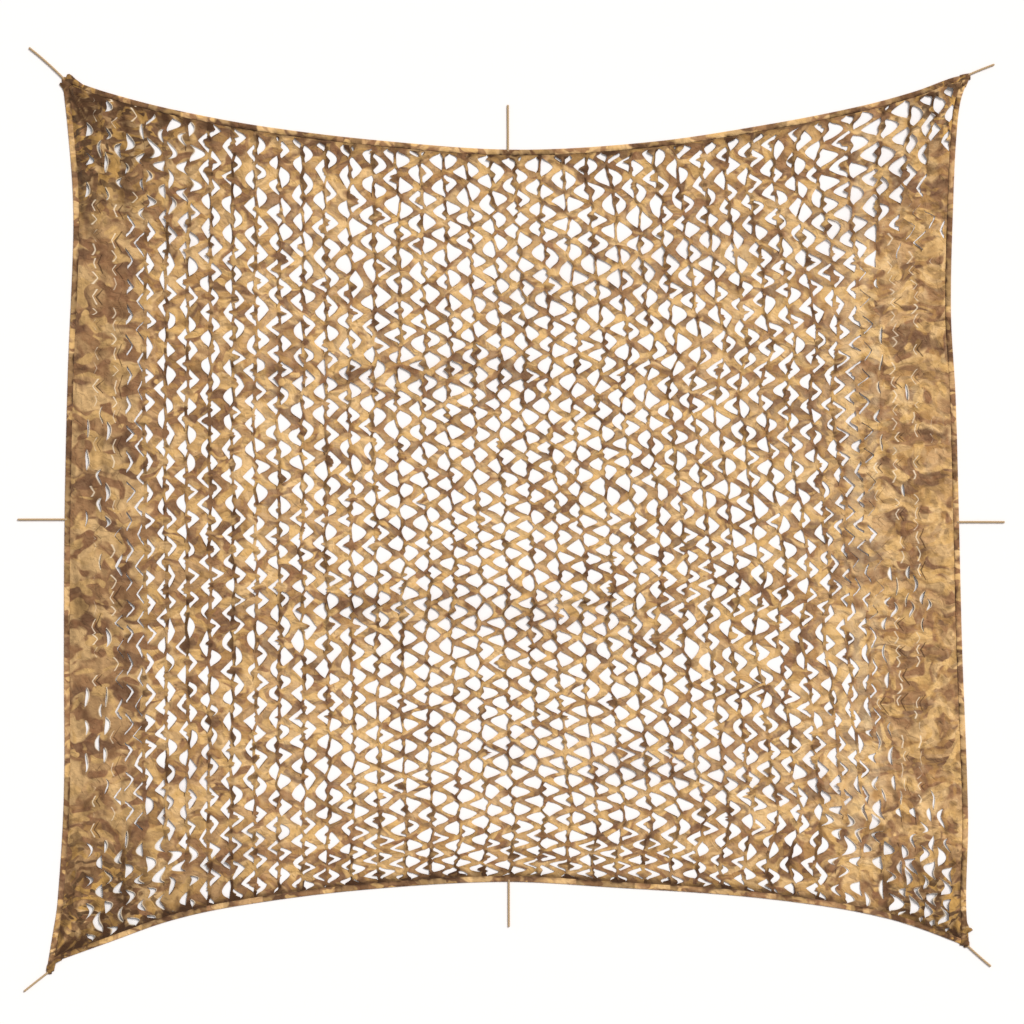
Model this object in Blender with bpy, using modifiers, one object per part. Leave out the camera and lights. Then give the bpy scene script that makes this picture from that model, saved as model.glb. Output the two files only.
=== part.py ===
"""Camouflage netting, 3 m by 3 m, laid out flat and tied out at its corners and edges.

One sheet of printed cloth, slit and pulled open into a lattice, with its raw edge held in a folded
tape and a short tie cord sewn into each corner and into the middle of each edge.  Metres, +Z up.  The
netting lies on the plane z = 0, centred on the origin, with its top edge towards +Y.
"""

import math
from collections import namedtuple

import bmesh
import bpy
from mathutils import Vector
from mathutils.geometry import delaunay_2d_cdt

# ---------------------------------------------------------------- driving sizes

SHEET_THICKNESS = 0.0015
TAPE_THICKNESS = 0.0007
TAPE_WIDTH = 0.019
SEWING_GAP = 0.0003

# The sheet's raw edge stands this far inside the tape's outer fold.
EDGE_SEAT = 0.0018
# From here inwards the sheet has left the tape and may rise and fall.
EDGE_CLEAR = 0.023

CORD_DIAMETER = 0.007
CORD_POINT_SPACING = 2.5 * CORD_DIAMETER
# Lifts the round cord so that no facet of it is lower than the ground.
CORD_LIFT = 0.0002

# Outer corners of the laid-out netting, and where the bottom edge meets the left one.
TOP_LEFT = Vector((-1.4875, 1.490))
TOP_RIGHT = Vector((1.5408, 1.500))
BOTTOM_RIGHT = Vector((1.5375, -1.4115))
BOTTOM_LEFT = Vector((-1.5275, -1.465))
# The left tape runs on past the bottom edge as a short tail.
TAIL_END = Vector((-1.5408, -1.500))

EDGE_STATIONS = 22
CLOSING_IN_STEPS = 4
MERGE_DISTANCE = 1e-7

Bow = namedtuple("Bow", "share drawn_in")

# How far each edge is drawn in from the straight line between its two ends.
TOP_BOW = (
    Bow(0.00, 0.000),
    Bow(0.05, 0.052),
    Bow(0.12, 0.108),
    Bow(0.22, 0.166),
    Bow(0.35, 0.215),
    Bow(0.50, 0.247),
    Bow(0.65, 0.222),
    Bow(0.78, 0.164),
    Bow(0.88, 0.105),
    Bow(0.94, 0.056),
    Bow(0.98, 0.012),
    Bow(1.00, 0.000),
)
BOTTOM_BOW = (
    Bow(0.00, 0.000),
    Bow(0.06, 0.063),
    Bow(0.13, 0.135),
    Bow(0.20, 0.179),
    Bow(0.33, 0.225),
    Bow(0.49, 0.246),
    Bow(0.62, 0.219),
    Bow(0.75, 0.185),
    Bow(0.85, 0.142),
    Bow(0.91, 0.102),
    Bow(0.95, 0.062),
    Bow(1.00, 0.000),
)
LEFT_BOW = (
    Bow(0.00, 0.000),
    Bow(0.06, 0.023),
    Bow(0.13, 0.043),
    Bow(0.19, 0.047),
    Bow(0.33, 0.037),
    Bow(0.50, 0.035),
    Bow(0.65, 0.041),
    Bow(0.80, 0.049),
    Bow(0.92, 0.034),
    Bow(0.96, 0.018),
    Bow(1.00, 0.000),
)
RIGHT_BOW = (
    Bow(0.00, 0.000),
    Bow(0.03, 0.032),
    Bow(0.07, 0.046),
    Bow(0.13, 0.055),
    Bow(0.27, 0.064),
    Bow(0.37, 0.048),
    Bow(0.50, 0.037),
    Bow(0.65, 0.026),
    Bow(0.85, 0.005),
    Bow(0.95, 0.011),
    Bow(1.00, 0.000),
)

# The cut-through middle of the sheet: columns of gaps between drawn-out strands, staggered by half a
# row.  Each gap leans one way or the other, so a column takes two gaps a row.
LATTICE_COLUMNS = 9
COLUMN_PITCH = 0.180
HALF_ROWS = 34
LATTICE_CENTRE_X = 0.015

Corner = namedtuple("Corner", "across along")

# One gap that points right: across in column pitches from its left strand, along in half rows.
# The band above it is twice as broad as the one below, so the gap sits low between its strands.
GAP_CORNERS = (
    Corner(0.05, -0.06),
    Corner(0.09, -0.70),
    Corner(0.59, -0.23),
    Corner(0.66, -0.08),
    Corner(0.58, 0.06),
    Corner(0.09, 0.55),
)
GAP_MIDDLE = Corner(0.33, -0.08)
# Gaps close up towards the sides of the sheet: their size in the outermost column, the middle being 1.
OUTER_GAP_SIZE = 0.72

# Uncut sides of the sheet, in strips that let the cloth swell and dip.
SIDE_COLUMNS = 4
SIDE_ROWS = 20

Fold = namedtuple("Fold", "x y heading_deg length breadth rise")

# Soft ridges: wrinkles across the middle, gathers that run in from the corners, swells at the sides.
FOLDS = (
    Fold(-0.38, 0.51, 2.0, 1.20, 0.075, 0.006),
    Fold(-0.15, -0.29, -3.0, 1.70, 0.080, 0.006),
    Fold(-1.20, 1.13, -52.0, 0.90, 0.070, 0.009),
    Fold(-1.34, 0.95, -75.0, 1.00, 0.060, 0.007),
    Fold(1.25, 1.16, 230.0, 0.90, 0.075, 0.009),
    Fold(-1.22, -1.05, 50.0, 0.90, 0.075, 0.010),
    Fold(-1.05, -1.18, 28.0, 0.90, 0.060, 0.007),
    Fold(1.24, -1.05, 130.0, 0.90, 0.075, 0.009),
    Fold(1.38, -0.10, 88.0, 1.70, 0.090, 0.007),
    Fold(1.18, 0.25, 84.0, 1.30, 0.080, 0.006),
    Fold(-1.32, 0.00, 92.0, 1.90, 0.090, 0.007),
    Fold(0.35, 0.85, 12.0, 1.30, 0.080, 0.005),
    Fold(0.42, -0.80, -8.0, 1.40, 0.080, 0.005),
)

# Routes of the tie cords on the ground, from the tape outwards.
Tie = namedtuple("Tie", "name middle end")

CORNER_TIES = {
    "top_left": Tie("cord_top_left", (-1.5405, 1.5405), (-1.5975, 1.5880)),
    "top_right": Tie("cord_top_right", (1.5800, 1.5165), (1.6205, 1.5320)),
    "bottom_right": Tie("cord_bottom_right", (1.5720, -1.4430), (1.6090, -1.4745)),
    "bottom_left": Tie("cord_bottom_left", (-1.5770, -1.5285), (-1.6140, -1.5580)),
}
EDGE_TIES = {
    "top": Tie("cord_top", (-0.0008, 1.3200), (-0.0010, 1.3970)),
    "right": Tie("cord_right", (1.6080, 0.0068), (1.6550, 0.0065)),
    "bottom": Tie("cord_bottom", (0.0020, -1.2650), (0.0022, -1.3430)),
    "left": Tie("cord_left", (-1.5580, 0.0152), (-1.6355, 0.0150)),
}

# ---------------------------------------------------------------- scene

for old in list(bpy.data.objects):
    bpy.data.objects.remove(old, do_unlink=True)

netting = bpy.data.collections.new("camouflage_netting")
bpy.context.scene.collection.children.link(netting)


def cloth_material(name, colour, roughness):
    """A matt woven finish with no metal in it."""
    material = bpy.data.materials.new(name)
    material.use_nodes = True
    shader = material.node_tree.nodes["Principled BSDF"]
    shader.inputs["Base Color"].default_value = (*colour, 1.0)
    shader.inputs["Roughness"].default_value = roughness
    shader.inputs["Metallic"].default_value = 0.0
    return material


def add_mesh_object(name, bm, material):
    """Turn a finished bmesh into the named sub-part."""
    bmesh.ops.recalc_face_normals(bm, faces=bm.faces)
    mesh = bpy.data.meshes.new(name)
    bm.to_mesh(mesh)
    bm.free()
    mesh.materials.append(material)
    piece = bpy.data.objects.new(name, mesh)
    netting.objects.link(piece)
    return piece


# ---------------------------------------------------------------- outline

def smooth_bow(rows, share):
    """Drawn-in distance at a share of the edge: a smooth curve through the rows."""
    last = len(rows) - 1
    index = 0
    while index < last - 1 and share > rows[index + 1].share:
        index += 1

    def slope(row):
        before = rows[max(row - 1, 0)]
        after = rows[min(row + 1, last)]
        return (after.drawn_in - before.drawn_in) / (after.share - before.share)

    start = rows[index]
    end = rows[index + 1]
    stretch = end.share - start.share
    t = (share - start.share) / stretch
    # A cubic Hermite curve between the two rows.
    drawn_in = (2 * t ** 3 - 3 * t ** 2 + 1) * start.drawn_in
    drawn_in += (3 * t ** 2 - 2 * t ** 3) * end.drawn_in
    drawn_in += (t ** 3 - 2 * t ** 2 + t) * stretch * slope(index)
    drawn_in += (t ** 3 - t ** 2) * stretch * slope(index + 1)
    return drawn_in


class Edge:
    """One edge of the netting: its outer line, and the way that leads into the sheet."""

    def __init__(self, start, end, rows, inward):
        self.inward = Vector(inward)
        self.runs_along = 1 if inward[0] else 0
        self.points = []
        for station in range(EDGE_STATIONS + 1):
            share = station / EDGE_STATIONS
            straight = start.lerp(end, share)
            self.points.append(straight + self.inward * smooth_bow(rows, share))

    def at(self, place):
        """The outer line at an x (or, on a side edge, at a y), which may lie just past its ends."""
        along = self.runs_along
        points = self.points
        rising = points[-1][along] > points[0][along]
        index = 0
        while index < len(points) - 2 and (place > points[index + 1][along]) == rising:
            index += 1
        start = points[index]
        end = points[index + 1]
        share = (place - start[along]) / (end[along] - start[along])
        return start.lerp(end, share)

    def inside(self, place, depth):
        """A point that lies a given depth inside the outer line."""
        return self.at(place) + self.inward * depth


EDGES = {
    "top": Edge(TOP_LEFT, TOP_RIGHT, TOP_BOW, (0.0, -1.0)),
    "bottom": Edge(BOTTOM_LEFT, BOTTOM_RIGHT, BOTTOM_BOW, (0.0, 1.0)),
    "left": Edge(TOP_LEFT, TAIL_END, LEFT_BOW, (1.0, 0.0)),
    "right": Edge(TOP_RIGHT, BOTTOM_RIGHT, RIGHT_BOW, (-1.0, 0.0)),
}


def inner_corner(level_edge, side_edge, depth):
    """Where the lines a given depth inside two neighbouring edges cross, found by closing in on it."""
    corner = level_edge.points[0] if side_edge is EDGES["left"] else level_edge.points[-1]
    for _ in range(CLOSING_IN_STEPS):
        x = side_edge.inside(corner.y, depth).x
        y = level_edge.inside(x, depth).y
        corner = Vector((x, y))
    return corner


def stations_between(edge, low, high, depth):
    """The edge's stations between two corners of a ring, in rising order, moved inwards."""
    along = edge.runs_along
    places = sorted(point[along] for point in edge.points)
    kept = [place for place in places if low[along] + TAPE_WIDTH < place < high[along] - TAPE_WIDTH]
    return [edge.inside(place, depth) for place in kept]


def ring(depth):
    """Closed loop of points a given depth inside the outer line, counter-clockwise."""
    top, bottom, left, right = (EDGES[name] for name in ("top", "bottom", "left", "right"))
    bottom_left = inner_corner(bottom, left, depth)
    bottom_right = inner_corner(bottom, right, depth)
    top_right = inner_corner(top, right, depth)
    top_left = inner_corner(top, left, depth)
    loop = [bottom_left]
    loop += stations_between(bottom, bottom_left, bottom_right, depth)
    loop += [bottom_right]
    loop += stations_between(right, bottom_right, top_right, depth)
    loop += [top_right]
    loop += reversed(stations_between(top, top_left, top_right, depth))
    loop += [top_left]
    loop += reversed(stations_between(left, bottom_left, top_left, depth))
    return loop


# ---------------------------------------------------------------- the sheet

def height_share(x, share):
    """The plan point at x, a share of the way up between the bottom and top edges."""
    low = EDGES["bottom"].inside(x, EDGE_CLEAR).y
    high = EDGES["top"].inside(x, EDGE_CLEAR).y
    return Vector((x, low + share * (high - low)))


def gap_loop(column, half_row):
    """Corners of one gap; odd half rows hold the gaps that point left."""
    points_left = half_row % 2 == 1
    middle_column = (LATTICE_COLUMNS - 1) / 2
    off_middle = abs(column - middle_column) / middle_column
    size = 1.0 + (OUTER_GAP_SIZE - 1.0) * off_middle ** 3
    loop = []
    for corner in GAP_CORNERS:
        across = GAP_MIDDLE.across + size * (corner.across - GAP_MIDDLE.across)
        along = GAP_MIDDLE.along + size * (corner.along - GAP_MIDDLE.along)
        if points_left:
            across = 1.0 - across
            along = -along
        columns_out = column + across - LATTICE_COLUMNS / 2
        x = LATTICE_CENTRE_X + COLUMN_PITCH * columns_out
        loop.append(height_share(x, (half_row + along) / HALF_ROWS))
    return loop


def side_points():
    """Inner points of the uncut sides, between the lattice and the side edges."""
    half_lattice = COLUMN_PITCH * LATTICE_COLUMNS / 2
    lattice_left = LATTICE_CENTRE_X - half_lattice
    lattice_right = LATTICE_CENTRE_X + half_lattice
    points = []
    for row in range(1, SIDE_ROWS):
        share = row / SIDE_ROWS
        level = height_share(0.0, share).y
        left = EDGES["left"].inside(level, EDGE_CLEAR).x
        right = EDGES["right"].inside(level, EDGE_CLEAR).x
        for column in range(1, SIDE_COLUMNS + 1):
            out = column / (SIDE_COLUMNS + 1)
            points.append(height_share(left + out * (lattice_left - left), share))
            points.append(height_share(right + out * (lattice_right - right), share))
    return points


def ground_clearance(point):
    """Height of the sheet's underside: flat on the ground but for its soft ridges."""
    height = 0.0
    for fold in FOLDS:
        heading = math.radians(fold.heading_deg)
        offset_x = point.x - fold.x
        offset_y = point.y - fold.y
        along = offset_x * math.cos(heading) + offset_y * math.sin(heading)
        aside = offset_y * math.cos(heading) - offset_x * math.sin(heading)
        reach = max(0.0, 1.0 - (2.0 * along / fold.length) ** 2)
        height += fold.rise * reach * math.exp(-(aside / fold.breadth) ** 2)
    return height


def fills_a_gap(corner_numbers, gap_of_point):
    """A triangle whose corners all stand on one gap's outline lies within that gap."""
    owners = {gap_of_point.get(number) for number in corner_numbers}
    return len(owners) == 1 and None not in owners


def build_sheet(material):
    """Fill the plan between the raw edge and the gaps, raise its folds, and give it a thickness."""
    raw_edge = ring(EDGE_SEAT)
    clear_line = ring(EDGE_CLEAR)
    gaps = []
    for column in range(LATTICE_COLUMNS):
        for half_row in range(1, HALF_ROWS):
            gaps.append(gap_loop(column, half_row))

    points = []
    lines = []
    gap_of_point = {}
    for loop_number, loop in enumerate([raw_edge, clear_line] + gaps):
        first = len(points)
        points += loop
        lines += [(first + i, first + (i + 1) % len(loop)) for i in range(len(loop))]
        if loop_number >= 2:
            gap_of_point.update({first + i: loop_number for i in range(len(loop))})
    points += side_points()
    held_flat = range(len(raw_edge) + len(clear_line))

    inside_constraints = 1
    plan, _, triangles, *_ = delaunay_2d_cdt(points, lines, [], inside_constraints, MERGE_DISTANCE)
    assert len(plan) == len(points), "two outlines cross or touch"

    bm = bmesh.new()
    for number, point in enumerate(plan):
        height = TAPE_THICKNESS + SEWING_GAP if number in held_flat else ground_clearance(point)
        bm.verts.new((point.x, point.y, height))
    bm.verts.ensure_lookup_table()
    for corner_numbers in triangles:
        if not fills_a_gap(corner_numbers, gap_of_point):
            bm.faces.new([bm.verts[number] for number in corner_numbers])

    sheet = add_mesh_object("net_panel", bm, material)
    thicken = sheet.modifiers.new("cloth thickness", "SOLIDIFY")
    thicken.thickness = SHEET_THICKNESS
    thicken.offset = 1.0
    return sheet


# ---------------------------------------------------------------- the edge tape

def tape_section(start, inward):
    """The folded tape cut across: a flat U that opens into the sheet."""
    slot = SHEET_THICKNESS + 2 * SEWING_GAP
    height = 2 * TAPE_THICKNESS + slot
    across_and_up = (
        (0.0, 0.0),
        (TAPE_WIDTH, 0.0),
        (TAPE_WIDTH, TAPE_THICKNESS),
        (TAPE_THICKNESS, TAPE_THICKNESS),
        (TAPE_THICKNESS, TAPE_THICKNESS + slot),
        (TAPE_WIDTH, TAPE_THICKNESS + slot),
        (TAPE_WIDTH, height),
        (0.0, height),
    )
    return [(*(start + inward * across), up) for across, up in across_and_up]


def build_tape(name, stations, inward, material):
    """Push the section along the edge, station by station."""
    bm = bmesh.new()
    first_face = bm.faces.new([bm.verts.new(point) for point in tape_section(stations[0], inward)])
    end_face = first_face
    for here, there in zip(stations, stations[1:]):
        grown = bmesh.ops.extrude_face_region(bm, geom=[end_face])["geom"]
        if end_face is not first_face:
            bmesh.ops.delete(bm, geom=[end_face], context="FACES_ONLY")
        end_face = next(item for item in grown if isinstance(item, bmesh.types.BMFace))
        bmesh.ops.translate(bm, verts=end_face.verts, vec=(*(there - here), 0.0))
    return add_mesh_object(name, bm, material)


def butt_end(edge, corner, side_edge):
    """The x where a level tape stops, just clear of the side tape along the whole of its end."""
    towards_middle = side_edge.inward.x
    x = corner.x + towards_middle * TAPE_WIDTH
    for _ in range(CLOSING_IN_STEPS):
        outer = edge.at(x)
        inner = outer + edge.inward * TAPE_WIDTH
        reaches = [side_edge.inside(point.y, TAPE_WIDTH).x * towards_middle for point in (outer, inner)]
        x = towards_middle * (max(reaches) + 2 * SEWING_GAP)
    return x


def between_side_tapes(edge):
    """Stations of a level edge, cut to butt against the two side tapes."""
    first = butt_end(edge, edge.points[0], EDGES["left"])
    last = butt_end(edge, edge.points[-1], EDGES["right"])
    least = TAPE_WIDTH / 2
    stations = [edge.at(first)]
    stations += [point for point in edge.points if first + least < point.x < last - least]
    stations += [edge.at(last)]
    return stations


# ---------------------------------------------------------------- the tie cords

def build_cord(name, route, material):
    """A straight-cut tie cord lying on the ground, read from a smooth curve through its route."""
    start, middle, end = (Vector(point) for point in route)
    length = (middle - start).length + (end - middle).length
    steps = math.ceil(length / CORD_POINT_SPACING)
    # A parabola that passes through the middle point half way along.
    bend = 2 * middle - (start + end) / 2
    curve = bpy.data.curves.new(name, "CURVE")
    curve.dimensions = "3D"
    curve.bevel_depth = CORD_DIAMETER / 2
    curve.bevel_resolution = 2
    curve.use_fill_caps = True
    curve.materials.append(material)
    spline = curve.splines.new("POLY")
    spline.points.add(steps)
    for index, point in enumerate(spline.points):
        t = index / steps
        place = (1 - t) ** 2 * start + 2 * t * (1 - t) * bend + t ** 2 * end
        point.co = (place.x, place.y, CORD_DIAMETER / 2 + CORD_LIFT, 1.0)
    cord = bpy.data.objects.new(name, curve)
    netting.objects.link(cord)
    return cord


# ---------------------------------------------------------------- assembly

build_sheet(cloth_material("printed polyester sheet", (0.42, 0.25, 0.10), 0.85))

tape_material = cloth_material("printed polyester tape", (0.30, 0.18, 0.08), 0.85)
build_tape("binding_top", between_side_tapes(EDGES["top"]), EDGES["top"].inward, tape_material)
build_tape("binding_bottom", between_side_tapes(EDGES["bottom"]), EDGES["bottom"].inward, tape_material)
build_tape("binding_left", EDGES["left"].points, EDGES["left"].inward, tape_material)
build_tape("binding_right", EDGES["right"].points, EDGES["right"].inward, tape_material)

cord_material = cloth_material("sand-coloured polyester cord", (0.58, 0.42, 0.22), 0.8)
tape_ends = {
    "top_left": TOP_LEFT,
    "top_right": TOP_RIGHT,
    "bottom_right": BOTTOM_RIGHT,
    "bottom_left": TAIL_END,
}
for corner_name, tie in CORNER_TIES.items():
    anchor = tape_ends[corner_name]
    outwards = (Vector(tie.middle) - anchor).normalized()
    build_cord(tie.name, (anchor + outwards * SEWING_GAP, tie.middle, tie.end), cord_material)
for edge_name, tie in EDGE_TIES.items():
    edge = EDGES[edge_name]
    anchor = edge.at(tie.middle[edge.runs_along])
    build_cord(tie.name, (anchor - edge.inward * 2 * SEWING_GAP, tie.middle, tie.end), cord_material)
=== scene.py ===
"""Camouflage netting, 3 m by 3 m, laid out flat and tied out at its corners and edges.

The netting is one printed cloth, slit in columns of chevrons and pulled open sideways.  Its raw edge
is gathered and bound in a folded tape, with a cotton tie cord sewn in at each corner and at the middle
of each edge.  It lies on the plane z = 0 with its top edge towards +Y, in metres.
"""

import math
from collections import namedtuple
from itertools import accumulate

import bmesh
import bpy
import numpy as np
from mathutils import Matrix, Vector, noise


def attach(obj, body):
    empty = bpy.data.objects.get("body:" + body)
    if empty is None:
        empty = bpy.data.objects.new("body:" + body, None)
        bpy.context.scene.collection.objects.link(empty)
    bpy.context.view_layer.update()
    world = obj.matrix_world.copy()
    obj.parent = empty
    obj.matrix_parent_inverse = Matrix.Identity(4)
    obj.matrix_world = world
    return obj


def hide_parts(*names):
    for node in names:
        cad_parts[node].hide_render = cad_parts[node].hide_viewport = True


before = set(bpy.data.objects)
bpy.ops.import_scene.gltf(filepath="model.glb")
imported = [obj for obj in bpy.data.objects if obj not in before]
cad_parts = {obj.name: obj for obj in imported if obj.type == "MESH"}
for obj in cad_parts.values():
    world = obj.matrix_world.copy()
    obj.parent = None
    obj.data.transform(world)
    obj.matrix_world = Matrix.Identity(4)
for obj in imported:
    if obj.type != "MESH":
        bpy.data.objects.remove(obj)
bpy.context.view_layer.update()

# ---------------------------------------------------------------- camera
# A long lens held straight above the middle of the netting, square to the ground, so that the edges
# and the cut pattern are seen in plan.

VIEW_CENTRE = (0.0125, 0.04)
VIEW_WIDTH = 3.4133
CLOTH_LEVEL = 0.004
LENS_MM = 110.0
SENSOR_MM = 36.0

camera_data = bpy.data.cameras.new("camera")
camera_data.lens = LENS_MM
camera_data.sensor_width = SENSOR_MM
camera_data.clip_end = 40.0
camera = bpy.data.objects.new("camera", camera_data)
camera.location = (*VIEW_CENTRE, CLOTH_LEVEL + VIEW_WIDTH * LENS_MM / SENSOR_MM)
bpy.context.scene.collection.objects.link(camera)
bpy.context.scene.camera = camera

# ---------------------------------------------------------------- tie cords
# Eight short lengths of three-strand twisted cotton cord, 7 mm thick, cut off plain.  Each is sewn
# into the fold of the edge tape, lies straight out over the ground, and is tied off by the user.

CORD_RADIUS = 0.0035
CORD_CENTRE_HEIGHT = 0.0037
CORD_STRANDS = 3
CORD_TURN_LENGTH = 0.026
CORD_SIDES = 24
CORD_STEP = 0.0018
FRAYED_LENGTH = 0.004
SEWN_IN = 0.008
# Start at the tape, a point on the way, and the cut end.
CORD_ROUTES = {
    "top_left": ((-1.4875, 1.4900), (-1.5405, 1.5405), (-1.5975, 1.5880)),
    "top": ((-0.0008, 1.2495), (-0.0008, 1.3200), (-0.0010, 1.3970)),
    "top_right": ((1.5408, 1.5000), (1.5800, 1.5165), (1.6205, 1.5320)),
    "right": ((1.5036, 0.0068), (1.6080, 0.0068), (1.6550, 0.0065)),
    "bottom_right": ((1.5375, -1.4115), (1.5720, -1.4430), (1.6090, -1.4745)),
    "bottom": ((0.0020, -1.1934), (0.0020, -1.2650), (0.0022, -1.3430)),
    "bottom_left": ((-1.5408, -1.5000), (-1.5770, -1.5285), (-1.6140, -1.5580)),
    "left": ((-1.4794, 0.0152), (-1.5580, 0.0152), (-1.6355, 0.0150)),
}


def linear(hex_colour):
    """An sRGB hex colour as the linear colour that a shader socket takes."""
    parts = [int(hex_colour[i:i + 2], 16) / 255 for i in (1, 3, 5)]
    return [c / 12.92 if c <= 0.04045 else ((c + 0.055) / 1.055) ** 2.4 for c in parts] + [1.0]


def add_node(material, kind, inputs=None, **settings):
    """Add a node with its settings; each input is given its value, or the output that it is fed by."""
    tree = material.node_tree
    node = tree.nodes.new(kind)
    for name, value in settings.items():
        setattr(node, name, value)
    for socket, value in (inputs or {}).items():
        if isinstance(value, bpy.types.NodeSocket):
            tree.links.new(value, node.inputs[socket])
        else:
            node.inputs[socket].default_value = value
    return node


def new_material(name, values):
    """A material with one principled shader, and the values that are the same all over the surface."""
    material = bpy.data.materials.new(name)
    material.use_nodes = True
    shader = material.node_tree.nodes["Principled BSDF"]
    for socket, value in values.items():
        shader.inputs[socket].default_value = value
    return material, shader


def feed(material, source, shader, socket):
    material.node_tree.links.new(source, shader.inputs[socket])


def twisted_cotton():
    """Undyed cotton, spun and twisted: matt, hairy, with painted shade in the grooves between its strands.
    """
    material, shader = new_material("twisted cotton cord", {
        "Sheen Weight": 0.25, "Sheen Roughness": 0.6, "Specular IOR Level": 0.2,
    })
    lay = add_node(material, "ShaderNodeUVMap", uv_map="lay")
    # Yarns run slanting over the strands, about 1.2 mm apart.
    yarns = add_node(material, "ShaderNodeTexWave", {
        "Vector": lay.outputs["UV"], "Scale": 380.0, "Distortion": 1.5, "Detail": 2.0,
    }, bands_direction="DIAGONAL")
    # Painted shade: the colour is darkened in the grooves between the strands.
    groove_shade = add_node(material, "ShaderNodeAttribute", attribute_name="groove_shade")
    specks = add_node(material, "ShaderNodeTexNoise", {"Scale": 260.0, "Detail": 3.0})
    paler = add_node(material, "ShaderNodeMix", {
        0: specks.outputs["Fac"], 6: linear("#B08E63"), 7: linear("#CDB48C"),
    }, data_type="RGBA")
    shaded = add_node(material, "ShaderNodeMix", {
        0: groove_shade.outputs["Fac"], 6: paler.outputs[2], 7: linear("#7C5C3C"),
    }, data_type="RGBA")
    feed(material, shaded.outputs[2], shader, "Base Color")
    rough = add_node(material, "ShaderNodeMapRange", {
        "Value": specks.outputs["Fac"], "To Min": 0.82, "To Max": 0.95,
    })
    feed(material, rough.outputs["Result"], shader, "Roughness")
    raised = add_node(material, "ShaderNodeBump", {
        "Strength": 0.5, "Distance": 0.0004, "Height": yarns.outputs["Fac"],
    })
    feed(material, raised.outputs["Normal"], shader, "Normal")
    return material


def add_piece(name, bm, material):
    """The finished bmesh as a piece that lies in the row frame and moves with the netting."""
    mesh = bpy.data.meshes.new(name)
    bm.to_mesh(mesh)
    bm.free()
    mesh.materials.append(material)
    mesh.shade_smooth()
    piece = bpy.data.objects.new(name, mesh)
    bpy.context.scene.collection.objects.link(piece)
    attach(piece, "root")
    return piece


def grid_places(bm):
    """Each vertex of a fresh grid with its column and row shares, from 0 to 1; row 0 is the far side."""
    return [(v, 0.5 + 0.5 * v.co.x, 0.5 - 0.5 * v.co.y) for v in bm.verts]


def float_layers(bm, *names):
    """New layers that hold one number at each vertex, for a material to read."""
    return [bm.verts.layers.float.new(name) for name in names]


def close_tube(bm):
    """Merge the seam of a tube made from a grid, fill its ends, and turn its faces outwards."""
    bmesh.ops.remove_doubles(bm, verts=bm.verts, dist=1e-6)
    bmesh.ops.holes_fill(bm, edges=bm.edges, sides=0)
    bmesh.ops.recalc_face_normals(bm, faces=bm.faces)


def route_point(route, share):
    """The point at this share of a cord's route, a parabola through its start, middle and end."""
    start, middle, end, reach = route
    at_start = (share - reach) * (share - 1) / reach
    at_middle = share * (share - 1) / (reach * (reach - 1))
    at_end = share * (share - reach) / (1 - reach)
    return start * at_start + middle * at_middle + end * at_end


cotton = twisted_cotton()
for place, (start, middle, end) in CORD_ROUTES.items():
    start, middle, end = Vector(start), Vector(middle), Vector(end)
    start += (start - middle).normalized() * SEWN_IN
    length = (middle - start).length + (end - middle).length
    route = (start, middle, end, (middle - start).length / length)

    bm = bmesh.new()
    bmesh.ops.create_grid(bm, x_segments=CORD_SIDES, y_segments=round(length / CORD_STEP), size=1.0)
    lay_layer = bm.loops.layers.uv.new("lay")
    groove_shade_layer, = float_layers(bm, "groove_shade")
    for face in bm.faces:
        for loop in face.loops:
            around = 0.5 + 0.5 * loop.vert.co.x
            down = 0.5 - 0.5 * loop.vert.co.y
            loop[lay_layer].uv = (around * 2 * math.pi * CORD_RADIUS, down * length)
    for vertex, around, down in grid_places(bm):
        turned = 2 * math.pi * (around + down * length / CORD_TURN_LENGTH)
        lobe = abs(math.cos(turned * CORD_STRANDS / 2))
        # Painted shade: 1 in the groove between two strands, 0 on a strand's crown.
        vertex[groove_shade_layer] = (1.0 - lobe) ** 2
        radius = CORD_RADIUS * (0.80 + 0.20 * math.sqrt(lobe))
        # The cut end frays a little thinner.
        radius *= 1.0 - 0.25 * max(0.0, 1.0 - (1.0 - down) * length / FRAYED_LENGTH) ** 2
        heading = route_point(route, min(down + 0.01, 1.0)) - route_point(route, max(down - 0.01, 0.0))
        side = Vector((-heading.y, heading.x)).normalized()
        angle = 2 * math.pi * around
        plan = route_point(route, down) + side * radius * math.cos(angle)
        vertex.co = (plan.x, plan.y, CORD_CENTRE_HEIGHT + radius * math.sin(angle))
    close_tube(bm)
    cord = add_piece("tie_cord_" + place, bm, cotton)
    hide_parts("cord_" + place)

# ---------------------------------------------------------------- netting cloth
# One sheet of printed polyester oxford cloth.  Columns of chevron slits leave a zigzag ribbon between
# each two narrow strands; pulled sideways, the ribbons tilt and the slits open into gaps.  The uncut
# edge is held in the tape.

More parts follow.
